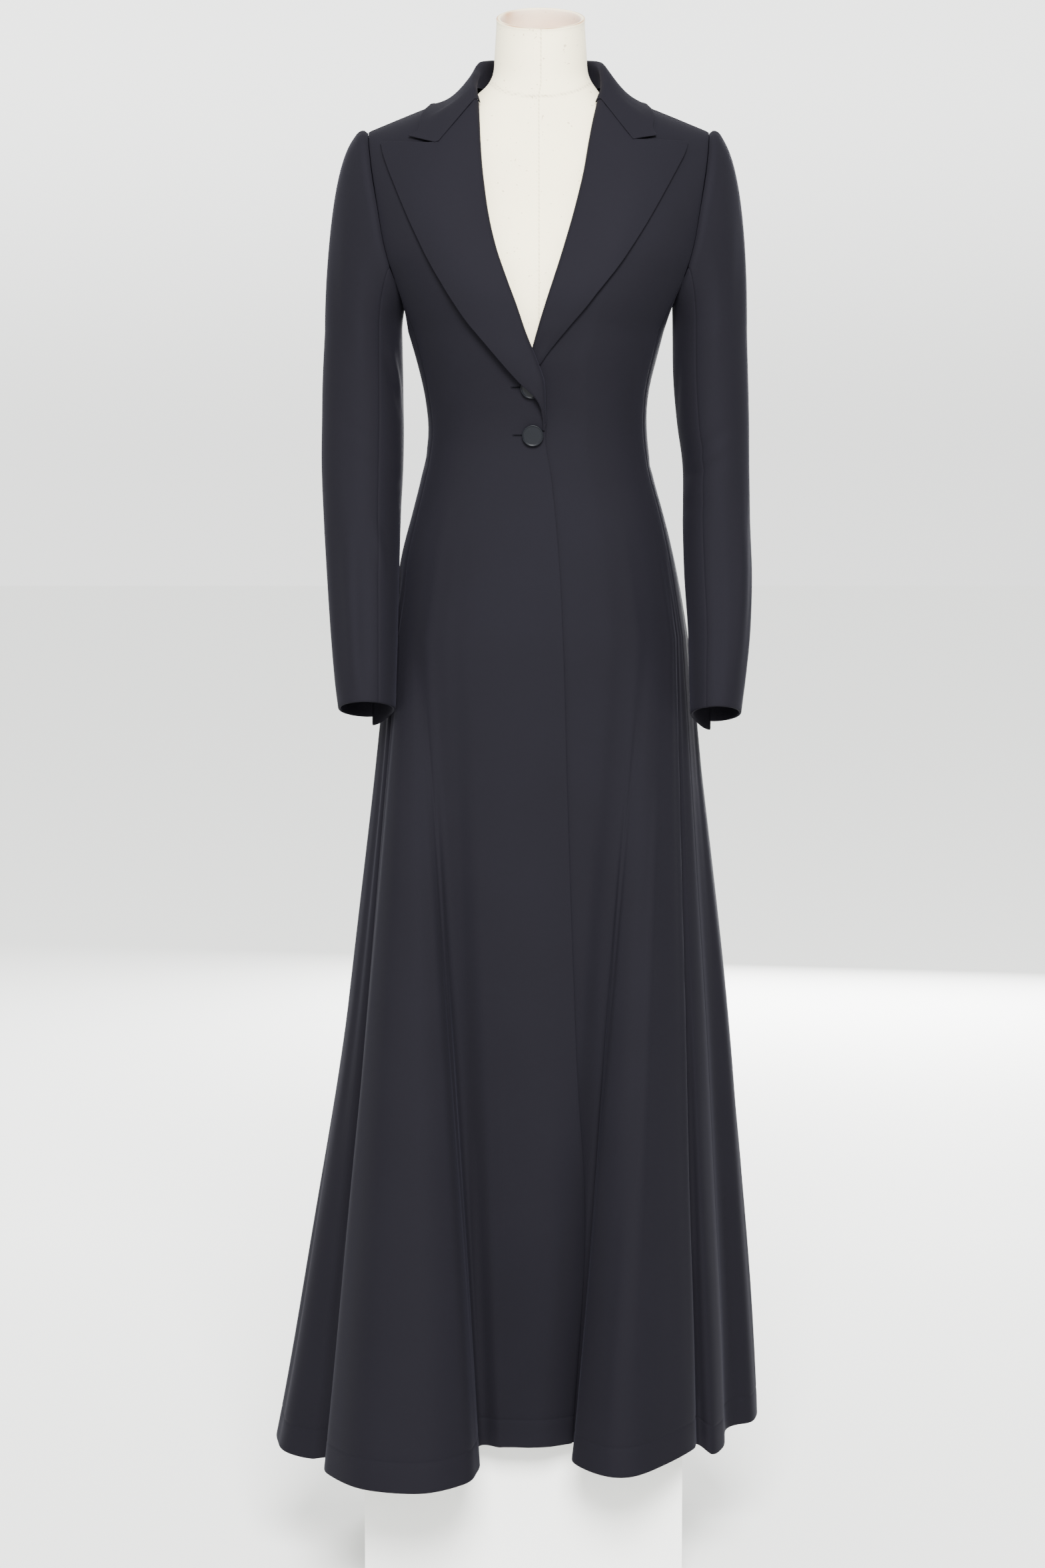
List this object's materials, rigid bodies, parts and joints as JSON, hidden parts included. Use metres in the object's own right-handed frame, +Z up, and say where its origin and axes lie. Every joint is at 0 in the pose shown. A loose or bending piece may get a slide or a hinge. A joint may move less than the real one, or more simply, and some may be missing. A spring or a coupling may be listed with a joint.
{
  "type": "floor-length fitted coat on a limbless dress form with pole and block stand",
  "caption": "Long fitted wool coat with peak lapels and a flared gored skirt, worn by a cream limbless dress form on a pole and a white block",
  "frame": {"origin": "middle of the white block's underside, where the stand meets the floor", "axes": "+Z up; the coat's front faces -Y; the wearer's left is at +X"},
  "size_m": [0.5539, 0.5683, 1.7642],
  "materials": {
    "wool": "matt",
    "button": "gloss",
    "linen": "matt",
    "steel": "satin",
    "white": "matt"
  },
  "bodies": {
    "root": {"front_right": "wool", "front_left": "wool", "side_right": "wool", "side_left": "wool", "back_right": "wool", "back_left": "wool", "lapel_right": "wool", "lapel_left": "wool", "collar": "wool", "sleeve_right_upper": "wool", "sleeve_right_under": "wool", "sleeve_left_upper": "wool", "sleeve_left_under": "wool", "button_upper": "button", "button_lower": "button", "form": "linen", "pole": "steel", "stand_base": "white"}
  },
  "joints": []
}
